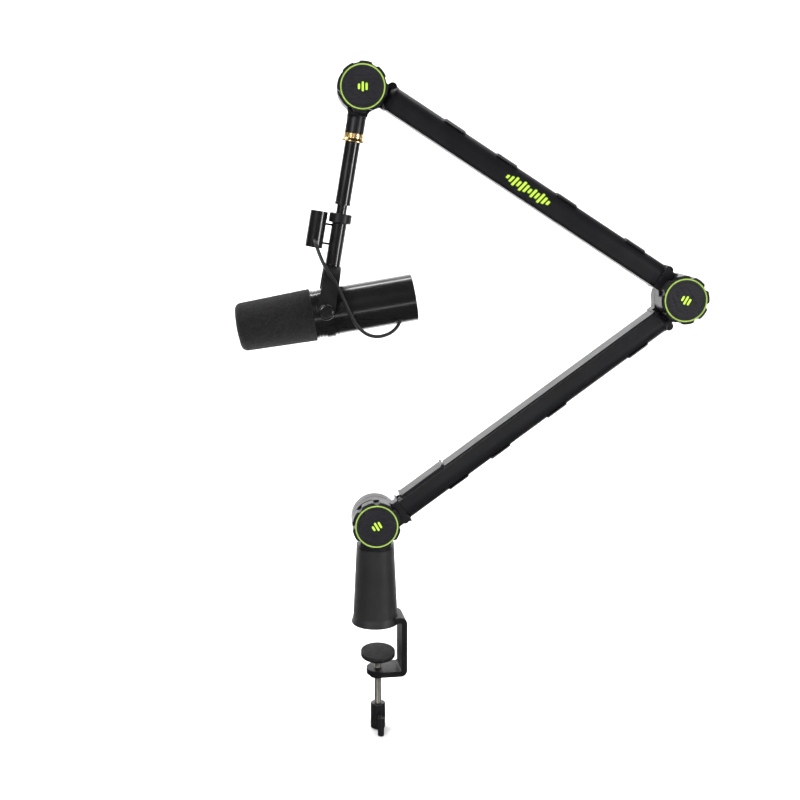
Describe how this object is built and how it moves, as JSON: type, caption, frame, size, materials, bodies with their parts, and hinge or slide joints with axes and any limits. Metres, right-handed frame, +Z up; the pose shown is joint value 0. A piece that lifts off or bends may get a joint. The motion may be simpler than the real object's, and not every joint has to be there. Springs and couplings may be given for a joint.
{
  "type": "broadcast microphone on a desk boom arm",
  "caption": "Foam-fronted broadcast microphone in a yoke, hanging from a two-section friction boom arm with lobed knobs, on a cone base with a desk-edge screw clamp",
  "frame": {"origin": "centre of the foot pad's underside, where the base stands on the desk top", "axes": "+X towards the clamp's spine and the elbow, +Y away from the knobs, +Z up; both arms and the drop tube lie in the plane Y = 0 at rest"},
  "size_m": [0.5065, 0.088, 0.7308],
  "materials": {
    "satin_black": "satin black powder coat on aluminium, fine grain",
    "frame_black": "satin black powder coat on steel",
    "hub_cap": "satin black enamel on aluminium",
    "gloss_black": "smooth semi-gloss black enamel on aluminium",
    "knob_black": "moulded nylon, fine satin texture",
    "clip_plastic": "moulded satin black",
    "knob_green": "leaf green moulded ring",
    "badge_black": "satin black disc",
    "brass": "turned brass, knurled edge",
    "zinc": "bright zinc plate",
    "contact_pins": "silver plated",
    "spring_steel": "oiled spring steel",
    "nylon": "natural nylon",
    "pad_rubber": "black rubber",
    "foam": "open-cell charcoal foam",
    "grille_steel": "blackened steel",
    "insert_plastic": "black moulded plastic",
    "cable_jacket": "smooth black jacket"
  },
  "bodies": {
    "base": {"clamp_frame": "frame_black", "base_cone": "satin_black", "base_foot_pad": "pad_rubber", "base_post": "zinc", "base_screws": "zinc"},
    "turret": {"shoulder_housing": "satin_black", "shoulder_hub_bolt": "hub_cap", "shoulder_friction_washer": "nylon"},
    "lower_arm": {"lower_arm_tube": "satin_black", "lower_arm_front_end": "satin_black", "lower_arm_rear_end": "satin_black", "lower_arm_covers": "satin_black", "lower_arm_clips": "clip_plastic", "lower_arm_spring": "spring_steel", "elbow_hub_bolt": "hub_cap", "elbow_friction_washer": "nylon"},
    "upper_arm": {"upper_arm_tube": "satin_black", "upper_arm_front_end": "satin_black", "upper_arm_rear_end": "satin_black", "upper_arm_cover": "satin_black", "upper_arm_clips": "clip_plastic", "upper_arm_spring": "spring_steel", "head_hub_bolt": "hub_cap", "head_friction_washer": "nylon"},
    "head": {"head_stub": "satin_black", "brass_adapter": "brass", "extension_tube": "gloss_black"},
    "shoulder_clamp_knob": {"shoulder_knob": "knob_black", "shoulder_knob_ring": "knob_green", "shoulder_knob_badge": "badge_black"},
    "elbow_clamp_knob": {"elbow_knob": "knob_black", "elbow_knob_ring": "knob_green", "elbow_knob_badge": "badge_black"},
    "head_clamp_knob": {"head_knob": "knob_black", "head_knob_ring": "knob_green", "head_knob_badge": "badge_black"},
    "lock_nut": {"mount_nut": "satin_black"},
    "yoke": {"yoke_post": "gloss_black", "yoke_bracket": "frame_black", "xlr_shell": "gloss_black", "xlr_insert": "insert_plastic", "xlr_pins": "contact_pins"},
    "front_thumb_knob": {"front_yoke_knob": "gloss_black"},
    "rear_thumb_knob": {"rear_yoke_knob": "gloss_black"},
    "microphone": {"mic_body": "gloss_black", "mic_collar": "gloss_black", "mic_grille": "grille_steel", "mic_windscreen": "foam", "mic_capsule": "grille_steel", "mic_shock_mount": "pad_rubber", "mic_rear_plate": "insert_plastic", "mic_cable_gland": "cable_jacket", "mic_cable": "cable_jacket"},
    "low_cut_slider": {"low_cut_switch": "insert_plastic"},
    "presence_slider": {"presence_switch": "insert_plastic"},
    "clamp_ball": {"swivel_ball": "zinc"},
    "clamp_pad": {"swivel_pad": "frame_black", "pad_rubber": "pad_rubber"},
    "screw": {"clamp_screw": "zinc", "wing_handle": "knob_black"}
  },
  "joints": [
    {"name": "base_swivel", "type": "hinge", "parent": "base", "child": "turret", "pos_m": [0, 0, 0.0863], "axis": [0, 0, 1], "continuous": true},
    {"name": "shoulder_pivot", "type": "hinge", "parent": "turret", "child": "lower_arm", "pos_m": [0, 0, 0.1173], "axis": [0, -1, 0], "range_deg": [-36, 58]},
    {"name": "elbow_pivot", "type": "hinge", "parent": "lower_arm", "child": "upper_arm", "pos_m": [0.33085, 0, 0.35945], "axis": [0, -1, 0], "range_deg": [-105, 22]},
    {"name": "head_pivot", "type": "hinge", "parent": "upper_arm", "child": "head", "pos_m": [-0.01358, 0, 0.58185], "axis": [0, 1, 0], "range_deg": [-30, 110]},
    {"name": "mount_swivel", "type": "hinge", "parent": "head", "child": "yoke", "pos_m": [-0.03742, 0, 0.44095], "axis": [0.1668, 0, 0.986], "range_deg": [-175, 175]},
    {"name": "mic_tilt", "type": "hinge", "parent": "yoke", "child": "microphone", "pos_m": [-0.05269, 0, 0.35063], "axis": [0, -1, 0], "range_deg": [-55, 28], "deforming": ["mic_cable"]},
    {"name": "shoulder_knob_turn", "type": "hinge", "parent": "turret", "child": "shoulder_clamp_knob", "pos_m": [0, -0.0235, 0.1173], "axis": [0, -1, 0], "range_deg": [0, 360]},
    {"name": "elbow_knob_turn", "type": "hinge", "parent": "lower_arm", "child": "elbow_clamp_knob", "pos_m": [0.33085, -0.0235, 0.35945], "axis": [0, -1, 0], "range_deg": [0, 360]},
    {"name": "head_knob_turn", "type": "hinge", "parent": "upper_arm", "child": "head_clamp_knob", "pos_m": [-0.01358, -0.0235, 0.58185], "axis": [0, -1, 0], "range_deg": [0, 360]},
    {"name": "lock_nut_turn", "type": "hinge", "parent": "head", "child": "lock_nut", "pos_m": [-0.03648, 0, 0.44647], "axis": [0.1668, 0, 0.986], "range_deg": [0, 360]},
    {"name": "front_thumb_turn", "type": "hinge", "parent": "yoke", "child": "front_thumb_knob", "pos_m": [-0.05269, -0.0385, 0.35063], "axis": [0, -1, 0], "range_deg": [0, 360]},
    {"name": "rear_thumb_turn", "type": "hinge", "parent": "yoke", "child": "rear_thumb_knob", "pos_m": [-0.05269, 0.0385, 0.35063], "axis": [0, 1, 0], "range_deg": [0, 360]},
    {"name": "low_cut_slide", "type": "slide", "parent": "microphone", "child": "low_cut_slider", "axis": [-0.165, 0, 0.9863], "range_m": [-0.0015, 0.0015]},
    {"name": "presence_slide", "type": "slide", "parent": "microphone", "child": "presence_slider", "axis": [-0.165, 0, 0.9863], "range_m": [-0.0015, 0.0015]},
    {"name": "clamp_travel", "type": "slide", "parent": "base", "child": "clamp_ball", "axis": [0, 0, 1], "range_m": [-0.006, 0.028]},
    {"name": "clamp_screw_turn", "type": "hinge", "parent": "clamp_ball", "child": "screw", "pos_m": [0.00269, 0.00024, -0.07], "axis": [0, 0, 1], "range_deg": [-1729, 8065]},
    {"name": "pad_tilt", "type": "hinge", "parent": "clamp_ball", "child": "clamp_pad", "pos_m": [0.00269, 0.00024, -0.0415], "axis": [0.9962, 0.0872, 0], "range_deg": [-18, 2]}
  ],
  "couplings": [
    {"joint": "clamp_screw_turn", "follows": "clamp_travel", "rad_per_m": 5026.5}
  ]
}
